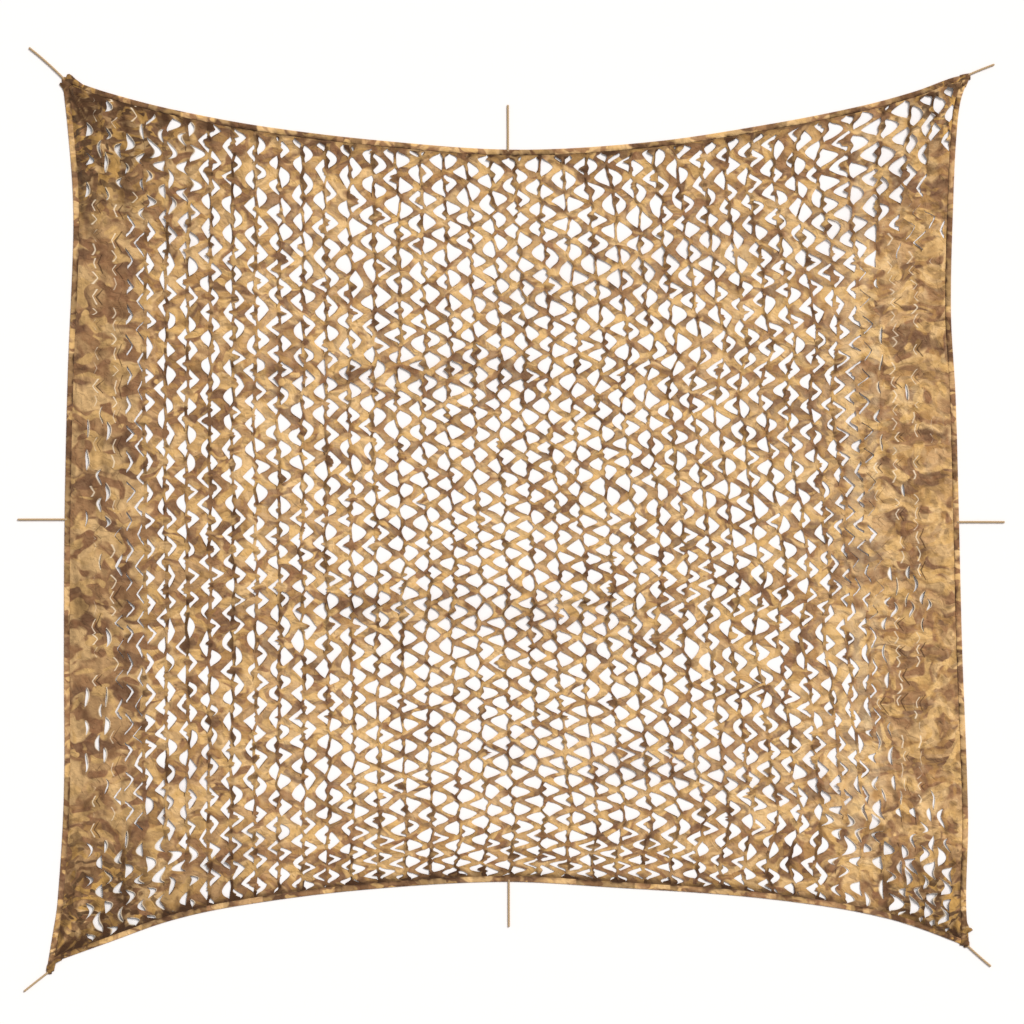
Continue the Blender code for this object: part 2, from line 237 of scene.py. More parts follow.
# Corners of the outer line, and how far each edge is drawn in at shares of its length.  The left tape
# runs on past its corner as a short tail.
TOP_LEFT = (-1.4875, 1.490)
TOP_RIGHT = (1.5408, 1.500)
BOTTOM_RIGHT = (1.5375, -1.4115)
BOTTOM_LEFT = (-1.5275, -1.465)
TAIL_END = (-1.5408, -1.500)
DRAWN_IN = {
    "top": ((0.00, 0.000), (0.05, 0.052), (0.12, 0.108), (0.22, 0.166), (0.35, 0.215), (0.50, 0.247),
            (0.65, 0.222), (0.78, 0.164), (0.88, 0.105), (0.94, 0.056), (0.98, 0.012), (1.00, 0.000)),
    "bottom": ((0.00, 0.000), (0.06, 0.063), (0.13, 0.135), (0.20, 0.179), (0.33, 0.225), (0.49, 0.246),
               (0.62, 0.219), (0.75, 0.185), (0.85, 0.142), (0.91, 0.102), (0.95, 0.062), (1.00, 0.000)),
    "left": ((0.00, 0.000), (0.06, 0.023), (0.13, 0.043), (0.19, 0.047), (0.33, 0.037), (0.50, 0.035),
             (0.65, 0.041), (0.80, 0.049), (0.92, 0.034), (0.96, 0.018), (1.00, 0.000)),
    "right": ((0.00, 0.000), (0.03, 0.032), (0.07, 0.046), (0.13, 0.055), (0.27, 0.064), (0.37, 0.048),
              (0.50, 0.037), (0.65, 0.026), (0.85, 0.005), (0.95, 0.011), (1.00, 0.000)),
}
EDGE_ENDS = {
    "top": (TOP_LEFT, TOP_RIGHT, (0.0, -1.0)),
    "bottom": (BOTTOM_LEFT, BOTTOM_RIGHT, (0.0, 1.0)),
    "left": (TOP_LEFT, TAIL_END, (1.0, 0.0)),
    "right": (TOP_RIGHT, BOTTOM_RIGHT, (-1.0, 0.0)),
}
LINE_POINTS = 601


def outer_line(edge):
    """Many plan points along an edge's outer line, smoothly drawn in between its two ends."""
    start, end, inward = (np.array(part) for part in EDGE_ENDS[edge])
    shares, depths = (np.array(part) for part in zip(*DRAWN_IN[edge]))
    slopes = np.gradient(depths, shares)
    slopes[1:-1] = (depths[2:] - depths[:-2]) / (shares[2:] - shares[:-2])
    fine = np.linspace(0.0, 1.0, LINE_POINTS)
    span = np.clip(np.searchsorted(shares, fine, side="right") - 1, 0, len(shares) - 2)
    width = shares[span + 1] - shares[span]
    t = (fine - shares[span]) / width
    depth = (2 * t ** 3 - 3 * t ** 2 + 1) * depths[span] + (3 * t ** 2 - 2 * t ** 3) * depths[span + 1]
    depth += (t ** 3 - 2 * t ** 2 + t) * width * slopes[span] + (t ** 3 - t ** 2) * width * slopes[span + 1]
    return start + fine[:, None] * (end - start) + depth[:, None] * inward


LINES = {edge: outer_line(edge) for edge in EDGE_ENDS}


def top_at(x):
    return np.interp(x, LINES["top"][:, 0], LINES["top"][:, 1])


def bottom_at(x):
    return np.interp(x, LINES["bottom"][:, 0], LINES["bottom"][:, 1])


def left_at(y):
    return np.interp(y, LINES["left"][::-1, 1], LINES["left"][::-1, 0])


def right_at(y):
    return np.interp(y, LINES["right"][::-1, 1], LINES["right"][::-1, 0])


# The raw edge stands this far inside the tape's fold; at the sides it is near these two places.
RAW_EDGE_SEAT = 0.006
LEFT_EDGE_X = -1.45
RIGHT_EDGE_X = 1.48


def level_at(x, share):
    """Height on the plan of a cut row at x: rows spread evenly between the top and bottom edges."""
    high = top_at(x) - RAW_EDGE_SEAT
    low = bottom_at(x) + RAW_EDGE_SEAT
    return high + share * (low - high)


# Across the netting: how far apart the strands stand, how many chevron rows a column has, and how far
# the slits are pulled open, from 0, shut, to 1, a strand drawn as thin as string.
PITCH_AT = ((-1.40, 0.066), (-1.30, 0.068), (-1.09, 0.0733), (-0.89, 0.0777), (-0.69, 0.0800),
            (-0.49, 0.0833), (-0.29, 0.0847), (0.00, 0.0875), (0.31, 0.0833), (0.51, 0.0817),
            (0.71, 0.0783), (0.91, 0.0775), (1.11, 0.0733), (1.21, 0.0690), (1.40, 0.0600))
ROWS_AT = ((-1.30, 28.6), (-0.89, 28.6), (-0.69, 29.3), (-0.49, 30.0), (-0.29, 33.4), (-0.09, 35.3),
           (0.11, 35.6), (0.31, 33.6), (0.51, 31.4), (0.71, 31.0), (0.91, 31.4), (1.11, 31.2),
           (1.45, 30.4))
OPEN_AT = ((-1.36, 0.00), (-1.31, 0.03), (-1.28, 0.06), (-1.25, 0.17), (-1.22, 0.38), (-1.03, 0.50),
           (-0.86, 0.55), (-0.78, 0.67), (-0.69, 0.72), (-0.49, 0.82), (-0.29, 0.96), (-0.10, 1.00),
           (0.38, 1.00), (0.50, 0.91), (0.64, 0.83), (0.84, 0.79), (0.91, 0.77), (0.97, 0.67),
           (1.03, 0.53), (1.09, 0.39), (1.15, 0.31), (1.21, 0.20), (1.26, 0.07), (1.36, 0.05),
           (1.42, 0.02))
FIRST_STRAND_X = -1.412
LAST_STRAND_X = 1.445
LEAST_PITCH = 0.03

# By openness: width of the ribbon at its joins, half width of a strand, half height of a join in
# rows, and where along its width a gap comes to its upper and lower ends.
RIBBON_WIDTH = ((0.0, 0.0270), (0.15, 0.0290), (0.5, 0.0300), (0.8, 0.0264), (1.0, 0.0246))
STRAND_HALF = ((0.0, 0.0060), (0.3, 0.0042), (0.5, 0.0038), (0.8, 0.0030), (1.0, 0.0021))
JOIN_HALF = ((0.0, 0.12), (0.3, 0.17), (0.5, 0.165), (0.8, 0.135), (1.0, 0.138))
GAP_ENDS_AT = ((0.0, 0.02), (0.5, 0.06), (1.0, 0.12))
# A cut chevron leaves a flap on the strand.  Where the flap lies flat, the gap is a bent bar of this
# width, and this share of the flaps do.  Elsewhere the flap has curled to a little knob, painted dark as in
# shade.
BAR_WIDTH = ((0.0, 0.0), (0.03, 0.0), (0.06, 0.0012), (0.15, 0.0040), (0.3, 0.0160), (0.5, 0.0265),
             (0.8, 0.0325), (1.0, 0.0300))
FLAT_SHARE = ((0.0, 1.0), (0.3, 1.0), (0.5, 0.60), (0.7, 0.38), (0.85, 0.14), (0.95, 0.02))
KNOB_REACH = ((0.0, 0.0090), (0.5, 0.0160), (0.8, 0.0190), (1.0, 0.0135))
# The strands lean as they run down: how far each has moved over by the bottom edge, and how much of
# a row each column's joins stand above those of the column on its left.
LEAN_AT = ((-0.70, 0.000), (-0.20, 0.045), (0.30, 0.110), (0.65, 0.160), (1.10, 0.160), (1.45, 0.000))
RISE_AT = ((-1.20, -0.035), (-1.00, 0.00), (-0.80, 0.037), (-0.60, 0.040), (-0.40, 0.00),
           (-0.20, -0.047), (0.20, -0.045), (0.40, 0.045), (0.60, 0.085), (0.80, 0.125), (1.00, 0.150))
# How many rows the middle columns' joins stand away from even spacing, at shares of the way down.
CROWDED_AT = ((0.0, 0.0), (0.12, -0.50), (0.28, -0.95), (0.50, -0.95), (0.62, -0.45), (0.72, -0.60),
              (0.85, -0.25), (1.0, 0.35))
# The wrinkles that run across the netting, where the lean starts afresh, and the band across it that is
# less open: its level and half height.
WRINKLE_LEVELS = (0.513, -0.270)
BAND_LEVEL, BAND_HALF = -0.24, 0.11
# The corners where the cloth is slack: which way each lies, and where it starts.
LOOSE_CORNERS = ((-1, 1, -1.02, 0.98), (-1, -1, -1.02, -0.98), (1, -1, 1.00, -0.88))
# Single slits in the margins that have come open: where, and how far.
OPENED_SPOTS = (
    (-1.354, 0.320, 0.30), (-1.398, 0.210, 0.34), (-1.354, 0.127, 0.30), (-1.354, 0.030, 0.30),
    (-1.404, -0.010, 0.22), (-1.321, -0.087, 0.32), (-1.394, -0.123, 0.25), (-1.318, -0.170, 0.34),
    (-1.408, -0.593, 0.28), (-1.368, -0.683, 0.28), (-1.361, -0.780, 0.25), (-1.328, -0.897, 0.34),
    (-1.290, -0.330, 0.34), (-1.300, -0.480, 0.30), (-1.300, -0.620, 0.34), (-1.330, -0.390, 0.20),
    (1.419, 0.983, 0.40), (1.336, 0.927, 0.36), (1.345, 0.430, 0.34), (1.186, -0.027, 0.40),
    (1.323, -0.133, 0.34), (1.363, -0.163, 0.26), (1.369, -0.300, 0.30), (1.290, -0.250, 0.24),
    (1.240, -0.180, 0.30), (1.400, -0.220, 0.22), (1.250, -0.330, 0.28), (1.330, 0.120, 0.16),
)

# The grid that is slit: rows down the sheet, and faces across each of its bands.
NET_ROWS = 560
MARGIN_QUADS = 16
RIBBON_QUADS = 3
STRAND_QUADS = 4
# Half the room that a slit takes, how far from a tape the slits stop, and over what depth they fade out.
SEAM_ROOM = 0.0005
HEM_DEPTH = 0.022
HEM_EASE = 0.014


def by(table, value):
    places, sizes = zip(*table)
    return np.interp(value, places, sizes)


def hashed(*numbers):
    """An even spread of numbers from 0 to 1, the same on each run."""
    mixed = np.zeros(np.broadcast(*numbers).shape)
    for step, number in enumerate(numbers):
        mixed = mixed + np.asarray(number, float) * (12.9898 + 65.233 * step)
    return np.modf(np.abs(np.sin(mixed) * 43758.5453))[0]


def soft_noise(x, y, seed):
    """Smooth hills and hollows, about -1 to 1, one hill to a unit."""
    flat = [noise.noise(Vector((a, b, seed * 7.31))) for a, b in zip(np.ravel(x), np.ravel(y))]
    return 1.6 * np.array(flat).reshape(np.shape(x))


def unit(value):
    """The value kept between 0 and 1."""
    return np.clip(value, 0.0, 1.0)


def ease(value):
    """From 0 to 1 along a smooth step."""
    value = unit(value)
    return value * value * (3 - 2 * value)


strand_x = [FIRST_STRAND_X]
while strand_x[-1] < LAST_STRAND_X - LEAST_PITCH:
    strand_x.append(strand_x[-1] + by(PITCH_AT, strand_x[-1]))
COLUMNS = len(strand_x) - 1

share_down = np.linspace(0.0, 1.0, NET_ROWS + 1)


def all_rows(number):
    """The same number for every row."""
    return np.full_like(share_down, number)


def noise_down(line, fineness, seed):
    """Smooth noise down the rows, different for each line."""
    return soft_noise(all_rows(line), share_down * fineness, seed)


# The strands' own lines lean, and wander a little from side to side.
strand_lines = []
for number, x in enumerate(strand_x):
    level = level_at(all_rows(x), share_down)
    turn = 2 * math.pi * (level - WRINKLE_LEVELS[0]) / (WRINKLE_LEVELS[0] - WRINKLE_LEVELS[1])
    saw = np.sin(turn) + np.sin(2 * turn) / 2 + np.sin(3 * turn) / 3
    lean = by(LEAN_AT, x) * (share_down - 0.5 + 0.09 * saw)
    wander = lean + 0.0050 * noise_down(x * 4.0, 9.0, 1)
    wander += 0.0045 * noise_down(number * 0.7, 30.0, 2)
    wander += 0.0080 * ease((x - 0.60) / 0.25) * noise_down(number * 0.45, 38.0, 14)
    # The right corners are drawn out by their cords.
    wander += 0.022 * ease((x - 1.10) / 0.25) * ease((level - 0.95) / 0.30)
    wander += 0.016 * ease((x - 1.20) / 0.18) * ease((level - 1.22) / 0.16)
    wander += 0.030 * ease((x - 1.05) / 0.28) * ease((-0.85 - level) / 0.30)
    strand_lines.append(x + wander)

# Phase of each column's ribbon down its length: whole numbers at its joins on the right, halves at
# its joins on the left.
phases = []
risen = 0.0
for column in range(COLUMNS):
    x = 0.5 * (strand_x[column] + strand_x[column + 1])
    risen += by(RISE_AT, x)
    phase = by(ROWS_AT, x) * (share_down - 0.5) + risen
    # In the middle the rows stand wider towards the top, and the last ones are crowded together above
    # the bottom tape.
    middle = ease((0.95 - abs(x)) / 0.45)
    phase += middle * by(CROWDED_AT, share_down)
    phase += 0.8 * middle * unit((share_down - 0.93) / 0.07) ** 1.5
    phase += 0.12 * noise_down(x * 5.0, 12.0, 3)
    phase += 0.10 * noise_down(column * 1.3, 26.0, 4)
    phases.append(phase)


def away_from(phase, where):
    """Signed distance in rows from the nearest place at this phase of a row, and that row's number."""
    nearest = np.round(phase - where)
    return phase - where - nearest, nearest


def spot_opening(x, y, breadth):
    """How far the cloth is open round the single opened slits."""
    opening = np.zeros_like(y)
    for spot_x, spot_y, opened in OPENED_SPOTS:
        near = np.exp(-((x - spot_x) / breadth) ** 4 - ((y - spot_y) / 0.030) ** 4)
        opening = np.maximum(opening, opened * near)
    return opening


def openness_at(x, y):
    """How far the slits are open, across the netting and in its corners, where the tie cords pull."""
    # The right margin's inner border wanders in and out.
    wandering = 0.045 * ease((x - 0.9) / 0.2) * soft_noise(y * 2.6, y * 0.0, 31)
    amount = by(OPEN_AT, x + wandering)
    # Beyond a slanting line, 60 degrees off level, the top right corner is pulled wide open.
    beyond = (x - 1.489) * -0.866 + (y - 1.413) * 0.500
    top_right = 0.90 * ease(beyond / 0.05 + 0.9) * ease((x - 0.88) / 0.10) * ease((y - 0.80) / 0.15)
    bottom_right = 0.44 * ease((-0.88 - y) / 0.12) * ease((x - 1.05) / 0.12)
    bottom_left = 0.40 * ease((-1.02 - y) / 0.10) * ease((-1.10 - x) / 0.10)
    top_left = 0.30 * ease((y - 1.05) / 0.12) * ease((-1.10 - x) / 0.10)
    for corner in (top_right, bottom_right, bottom_left, top_left):
        amount = np.maximum(amount, corner)
    # The slits close up towards the bottom and top tapes, and where a wrinkle crosses them.
    middle = ease((1.15 - np.abs(x)) / 0.3)
    near_bottom, near_top = ease((-0.92 - y) / 0.16), ease((y - 1.06) / 0.12)
    amount = amount * (1.0 - 0.28 * middle * near_bottom - 0.17 * middle * near_top)
    for level in WRINKLE_LEVELS:
        amount = amount * (1.0 - 0.25 * np.exp(-((y - level) / 0.022) ** 2))
    amount = amount * (1.0 - 0.10 * np.exp(-((y - BAND_LEVEL) / BAND_HALF) ** 2))
    return np.maximum(amount, spot_opening(x, y, 0.035))


def looseness_at(x, y):
    """Where the cloth isn't drawn tight and its slits gape by chance: in the margins and corners."""
    loose = np.maximum(ease((-1.285 - x) / 0.03), ease((x - 1.190) / 0.05) * (y < 0.95))
    for side_x, side_y, start_x, start_y in LOOSE_CORNERS:
        loose = np.maximum(loose, ease(side_x * (x - start_x) / 0.08) * ease(side_y * (y - start_y) / 0.10))
    return loose


def of_gap(values, gap_number):
    """Each row's value replaced by the mean over its own gap."""
    order = (gap_number - gap_number.min()).astype(int)
    return (np.bincount(order, values) / np.maximum(np.bincount(order), 1))[order]


# For each column: how far its slits are open, and where they stop short of the top and bottom tapes.
openness = []
hem_share = []
for column in range(COLUMNS):
    x = 0.5 * (strand_lines[column] + strand_lines[column + 1])
    y = level_at(x, share_down)
    opened = openness_at(x, y)
    uneven = 0.10 + 0.14 * ease((0.95 - opened) / 0.15) * ease((opened - 0.15) / 0.2)
    openness.append(np.clip(opened * (1.0 + uneven * soft_noise(x * 7.0, y * 9.0, 5)), 0.0, 1.05))
    inside = np.minimum(top_at(x) - y, y - bottom_at(x))
    depth = HEM_DEPTH * (0.85 + 0.4 * hashed(all_rows(column), np.sign(y)))
    hem_share.append(ease((inside - depth) / HEM_EASE))

# Strands: each is drawn to and fro by the ribbons that join it on its two sides, this far at a full
# opening, and over this many rows to each side of a join.
DRAWN_ASIDE = 0.0072
DRAWN_ROWS = 0.19
all_shut = all_rows(0.0)
open_beside = [all_shut, *openness, all_shut]
strand_edges = []
for number, line in enumerate(strand_lines):
    both_open = 0.5 * (open_beside[number] + open_beside[number + 1])
    uneven = 1.0 + 0.30 * noise_down(number * 3.1, 60.0, 6)
    half = by(STRAND_HALF, both_open) * uneven
    pull = np.zeros_like(line)
    if number > 0:
        offset, join = away_from(phases[number - 1], 0.0)
        pull -= (0.4 + 1.2 * hashed(join, all_rows(number))) * np.exp(-(offset / DRAWN_ROWS) ** 2)
    if number < COLUMNS:
        offset, join = away_from(phases[number], 0.5)
        pull += (0.4 + 1.2 * hashed(join, all_rows(number + 0.3))) * np.exp(-(offset / DRAWN_ROWS) ** 2)
    middle = line + DRAWN_ASIDE * both_open * pull
    strand_edges.append((middle - half, middle, middle + half))


# One side of a column's ribbon, row by row: how far the ribbon's cut edge and the strand's flap stand
# from the strand, where the two are joined, how curled the flap is, the luck of each gap, and where a
# slit runs that is shut.
Gaps = namedtuple("Gaps", "ribbon flap joined curl luck shut")

# How curled a slack slit's edge is: a flat flap has 0 and a knob 1.
SLACK_CURL = 0.3
# A loose slit that gapes less than this is shut, and edges nearer than this touch.
LEAST_GAPE = 0.0035
TOUCHING = 0.0007
# Below this openness a joined slit runs as a bent line, which leaves the ribbon this wide.
SHUT_BELOW = 0.3
UNBENT_WIDTH = 0.021


def cut_gaps(column, side, width):
    """The gaps down the left (0) or right (1) side of a column's ribbon, in a column of this width."""
    strand = strand_lines[column + side]
    offset, gap_number = away_from(phases[column], 0.5 * side)
    lucks = [hashed(all_rows(column + 0.37 * turn), gap_number, all_rows(side + turn)) for turn in range(8)]
    y = level_at(strand, share_down)
    spot = spot_opening(strand, y, 0.024)
    opened = of_gap(np.maximum(openness[column], spot), gap_number) * (0.86 + 0.28 * lucks[0])
    spot = of_gap(spot, gap_number)
    loose = of_gap(looseness_at(strand, y), gap_number) > 0.5
    lies_flat = (lucks[5] < by(FLAT_SHARE, opened)) & ~loose
    deepest = np.maximum(width - by(RIBBON_WIDTH, opened) * (0.82 + 0.36 * lucks[1]), 0.004)
    deepest = deepest * np.where(lies_flat, 1.0, np.interp(opened, (0.4, 0.6, 0.8), (0.80, 0.84, 0.98)))
    # A loose slit is shut, or gapes as a lens that leans one way or the other.
    gaping = opened * (0.026 + 0.052 * lucks[1]) * (lucks[5] < 0.30 + 1.6 * opened)
    gaping = np.where(gaping < LEAST_GAPE, 0.0, gaping)
    gaping = np.where(spot > 0.10, np.maximum(gaping, 0.080 * spot), gaping)
    deepest = np.where(loose, np.minimum(gaping, 0.7 * width), deepest)
    ends_at = deepest * by(GAP_ENDS_AT, opened) * (0.5 + 1.0 * lucks[6])
    join_half = by(JOIN_HALF, opened) * (0.7 + 0.6 * lucks[3])
    join_half = join_half + np.where(lies_flat | (opened > 0.75), 0.0, 0.03)
    join_half = np.where(loose, 0.13 + 0.20 * lucks[3], join_half)
    reach = np.abs(offset) / (0.5 - join_half)
    inside = unit(reach)
    # The gap's edges run nearly straight from its tip, or bulge a little.
    bulge = np.where(lies_flat, 0.15, np.interp(opened, (0.5, 0.85), (0.55, 0.15)) + 0.60 * lucks[2])
    bulge = bulge + 0.35 * (lucks[6] - 0.5) * np.where((offset < 0) ^ (side == 1), 1.0, -1.0)
    bulge = np.where(loose, 0.8 + 0.5 * lucks[2], bulge)
    profile = (1.0 - inside) * (1.0 + bulge * inside)
    gap = ends_at + (deepest - ends_at) * profile
    # The flap lies flat beside a bar, or has curled to a knob somewhere along the gap.
    uneven = 0.9 + 0.35 * soft_noise(offset * 9.0, y * 60.0, 13)
    bar = by(BAR_WIDTH, opened) * (0.72 + 0.56 * lucks[4]) * uneven
    knob = by(KNOB_REACH, opened) * np.clip(1.7 * lucks[7] - 0.35, 0.03, 1.2)
    off_knob = np.abs(offset - 0.2 * (lucks[4] - 0.5)) / (0.12 + 0.10 * lucks[2])
    flap = ends_at * inside ** 3 + knob * unit(1.0 - off_knob) ** 0.8
    flap = np.where(loose, 0.25 * flap, flap)
    flap = np.where(lies_flat, gap - bar, np.minimum(flap, gap - 0.0008))
    leaning = loose * opened * 0.05 * lucks[7] * (1.0 - inside ** 2)
    leaning = leaning * (1.0 + np.where(lucks[4] > 0.5, 1.0, -1.0) * offset / 0.4)
    gap, flap = gap + leaning, flap + leaning
    # Both edges run together where the slit stops short of a tape.
    middle = 0.5 * (gap + flap)
    gap, flap = (middle + (part - middle) * hem_share[column] for part in (gap, flap))
    joined = (reach >= 1.0) | (gap - flap < TOUCHING) | (loose & (gaping == 0.0))
    # Where the edges are joined they follow one line: the join's, a shut slit's, or the gap's middle.
    at_join = ends_at * unit((0.5 - np.abs(offset)) / 0.06)
    bent = np.clip(width - UNBENT_WIDTH, 0.0, 0.6 * width) * (0.55 + 0.4 * lucks[1]) * (1.0 - inside)
    shared = np.where(opened < SHUT_BELOW, bent, np.clip(middle, 0.0, None))
    shared = np.where(reach >= 1.0, at_join, shared)
    return Gaps(
        ribbon=np.where(joined, shared, gap),
        flap=np.where(joined, shared, np.clip(flap, 0.0, None)),
        joined=joined,
        curl=np.where(lies_flat, 0.0, np.where(loose, SLACK_CURL, 1.0)),
        luck=lucks[6],
        shut=joined & (reach < 1.0) & (opened < SHUT_BELOW),
    )


gaps = []
for column in range(COLUMNS):
    width = strand_edges[column + 1][0] - strand_edges[column][2] - 2 * SEAM_ROOM
    gaps.append((cut_gaps(column, 0, width), cut_gaps(column, 1, width)))

# Bands across the sheet: margin, then ribbon and strand in turn, then the other margin.
bands = [("margin_left", 0, MARGIN_QUADS)]
for column in range(COLUMNS):
    bands.append(("ribbon", column, RIBBON_QUADS))
    if column < COLUMNS - 1:
        bands.append(("strand", column + 1, STRAND_QUADS))
bands.append(("margin_right", COLUMNS, MARGIN_QUADS))
*first_line_of, line_count = accumulate((quads for _, _, quads in bands), initial=0)

# The darkest painted shade that a flap and a strand get, and the painted highlight of an edge that is turned
# up to the light.
DARKEST_FLAP = 0.60
DARKEST_STRAND = 0.74
PALE_EDGE = -0.80


def strand_looks(number, step, x, opened):
    """Lift, painted shade and rim down one line of a strand: a flap's tip, an edge of the strand, or its
    middle.
    """
    gap = gaps[number - 1][1] if step < 2 else gaps[number][0]
    twist = noise_down(number * 5.3, 75.0, 7)
    lift = opened * (0.0013 + 0.0010 * twist * (step / STRAND_QUADS - 0.5) * 2)
    lift += 0.0009 * opened * (step == 2)
    uneven = noise_down(number * 2.9 + step, 90.0, 8)
    # Painted shade, only here and there, where the thread of cloth has twisted over and stands edge-on.
    twist_shade = noise_down(number * 1.7, 105.0, 15)
    twist_shade = ease((twist_shade - 0.22 + 0.20 * ease((opened - 0.6) / 0.3)) / 0.35)
    # Beside some of the gaps the strand shows only its cut edge, painted dark as in shade.
    edge_on_shade = gap.curl * (gap.luck > 0.50) * ~gap.joined * ease((0.85 - opened) / 0.3 + 0.45)
    rim = np.zeros_like(x)
    darkest = DARKEST_STRAND
    if step in (0, STRAND_QUADS):
        # Painted shade: a curled flap is a dark knob, and a joined one stays light.
        shade = np.where(gap.joined, 0.05, 0.16 + 0.20 * uneven + 0.62 * gap.curl)
        shade = shade + 0.22 * twist_shade + 0.30 * edge_on_shade
        darkest = DARKEST_FLAP
        lift += 0.10 * gap.flap * (0.4 + uneven)
        # A slack flap's cut edge gets a painted highlight.
        rim = PALE_EDGE * (gap.curl == SLACK_CURL) * ~gap.joined * ease((0.75 - gap.luck) / 0.2)
    elif step == 2:
        shade = 0.12 + 0.62 * twist_shade + 0.25 * edge_on_shade
    else:
        shade = 0.12 + 0.50 * twist_shade + 0.62 * edge_on_shade
    slack = looseness_at(x, level_at(x, share_down))
    shade = np.minimum(shade, darkest) * ease(opened / 0.40) * (1.0 - 0.65 * slack)
    return lift, shade, rim


def ribbon_looks(number, step, x, width, opened):
    """Lift, painted shade and rim down one line of a ribbon.  A rim above 0 is a painted dark line, and one
    below 0 a painted pale one.
    """
    across = step / RIBBON_QUADS
    offset, piece = away_from(phases[number], 0.25)
    # +1 halfway down the rising arm, -1 halfway down the falling one.
    arm = np.cos(2 * math.pi * offset)
    luck = hashed(piece, all_rows(number), np.sign(arm))
    luck = 0.5 * luck + 0.5 * hashed(np.round(phases[number] * 2), all_rows(number + 0.7))
    lift = 0.0022 * opened * arm ** 2
    lift += 0.0044 * opened * arm * (0.5 - across)
    lift += 0.0014 * opened * soft_noise(x * 30.0, share_down * 60.0, 9)
    # Painted shade: each arm is darker towards one edge as it tilts, by luck, with a little random tone over
    # it; below, a painted highlight down the ribbon's middle.
    rising = unit(arm) * (0.14 * (1 - across) ** 2 - 0.05) * (0.2 + 1.4 * luck)
    falling = unit(-arm) * (0.14 * across ** 2 - 0.05) * (0.2 + 1.4 * luck)
    shade = opened * (rising + falling) + 0.10 * soft_noise(x * 40.0, share_down * 80.0, 12)
    shade = shade - (0.02 + 0.06 * (step in (1, 2))) * ease(opened / 0.4)
    # How near the upper edge of its arm a place is: 1 at the edge, 0 from 16 mm inwards; a painted shade
    # line runs along that edge.
    inward = np.where(arm > 0, across, 1.0 - across) * width
    rim = unit(1.0 - inward / 0.016 - 1.5 * (1.0 - np.abs(arm)) ** 3)
    rim = rim * ease(opened / 0.3) * (0.60 + 0.40 * ease((luck - 0.48) / 0.12))
    side = 0 if step < 2 else 1
    gap = gaps[number][side]
    offset, _ = away_from(phases[number], 0.5 * side)
    seen = gap.shut * ease((1.44 - np.abs(x)) / 0.08 + 0.35 * (gap.luck > 0.6))
    if step in (0, RIBBON_QUADS):
        # A shut slit is a fine line of painted shade; a slack one's cut edge is turned up to the light, as a
        # painted highlight.
        rim = np.maximum(rim, seen * (0.72 + 0.25 * gap.luck))
        rim = np.where((gap.curl == SLACK_CURL) & ~gap.joined & (gap.luck > 0.25), PALE_EDGE, rim)
    else:
        # Beside the middle of a shut slit runs a pale line, a painted highlight on the cut edge.
        rim = -seen * (np.abs(offset) < 0.23) * (0.70 + 0.16 * gap.luck) * (gap.luck > 0.15)
    return lift, shade, rim


def place_lines():
    """Plan x, lift, shade and rim of every line of the grid at every row, for its left and right faces."""
    placed = np.zeros((4, 2, line_count + 1, NET_ROWS + 1))
    for (kind, number, quads), first in zip(bands, first_line_of):
        if kind == "strand":
            left_edge, middle, right_edge = strand_edges[number]
            lines = [left_edge - SEAM_ROOM - gaps[number - 1][1].flap, left_edge, middle, right_edge,
                     right_edge + SEAM_ROOM + gaps[number][0].flap]
            opened = 0.5 * (openness[number - 1] + openness[number])
        else:
            if kind == "ribbon":
                low = strand_edges[number][2] + SEAM_ROOM + gaps[number][0].ribbon
                high = strand_edges[number + 1][0] - SEAM_ROOM - gaps[number][1].ribbon
            elif kind == "margin_left":
                high = strand_edges[0][2] + SEAM_ROOM + gaps[0][0].flap
                low = all_rows(LEFT_EDGE_X)
                for _ in range(4):
                    low = left_at(level_at(low, share_down)) + RAW_EDGE_SEAT
            else:
                low = strand_edges[COLUMNS][0] - SEAM_ROOM - gaps[COLUMNS - 1][1].flap
                high = all_rows(RIGHT_EDGE_X)
                for _ in range(4):
                    high = right_at(level_at(high, share_down)) - RAW_EDGE_SEAT
            lines = [low + (high - low) * step / quads for step in range(quads + 1)]
        for step, x in enumerate(lines):
            if kind == "strand":
                looks = strand_looks(number, step, x, opened)
            elif kind == "ribbon":
                looks = ribbon_looks(number, step, x, high - low, openness[number])
            else:
                lift = 0.0015 * (1.0 + soft_noise(x * 14.0, share_down * 40.0, 10))
                looks = (lift, all_rows(0.0), all_rows(0.0))
            if step > 0:
                placed[:, 0, first + step] = (x, *looks)
            if step < quads:
                placed[:, 1, first + step] = (x, *looks)
    placed[:, 0, 0] = placed[:, 1, 0]
    placed[:, 1, line_count] = placed[:, 0, line_count]
    return placed


line_looks = place_lines()

# A slit runs along a line wherever the bands on its two sides stand apart.
apart = line_looks[0, 1] - line_looks[0, 0] > 1e-5
is_slit = apart[:, :-1] | apart[:, 1:]

# Soft ridges that the laid cloth keeps, wrinkles across it and gathers from its corners: the middle of
# each, its heading in degrees, its length, its breadth and how high it rises.
RIDGES = (
    (-0.38, 0.51, 2.0, 1.20, 0.075, 0.006), (-0.15, -0.29, -3.0, 1.70, 0.080, 0.006),
    (-1.20, 1.13, -52.0, 0.90, 0.070, 0.009), (-1.34, 0.95, -75.0, 1.00, 0.060, 0.007),
    (1.25, 1.16, 230.0, 0.90, 0.075, 0.009), (-1.22, -1.05, 50.0, 0.90, 0.075, 0.010),
    (-1.05, -1.18, 28.0, 0.90, 0.060, 0.007), (1.24, -1.05, 130.0, 0.90, 0.075, 0.009),
    (1.38, -0.10, 88.0, 1.70, 0.090, 0.007), (1.18, 0.25, 84.0, 1.30, 0.080, 0.006),
    (-1.32, 0.00, 92.0, 1.90, 0.090, 0.007), (0.35, 0.85, 12.0, 1.30, 0.080, 0.005),
    (0.42, -0.80, -8.0, 1.40, 0.080, 0.005),
)


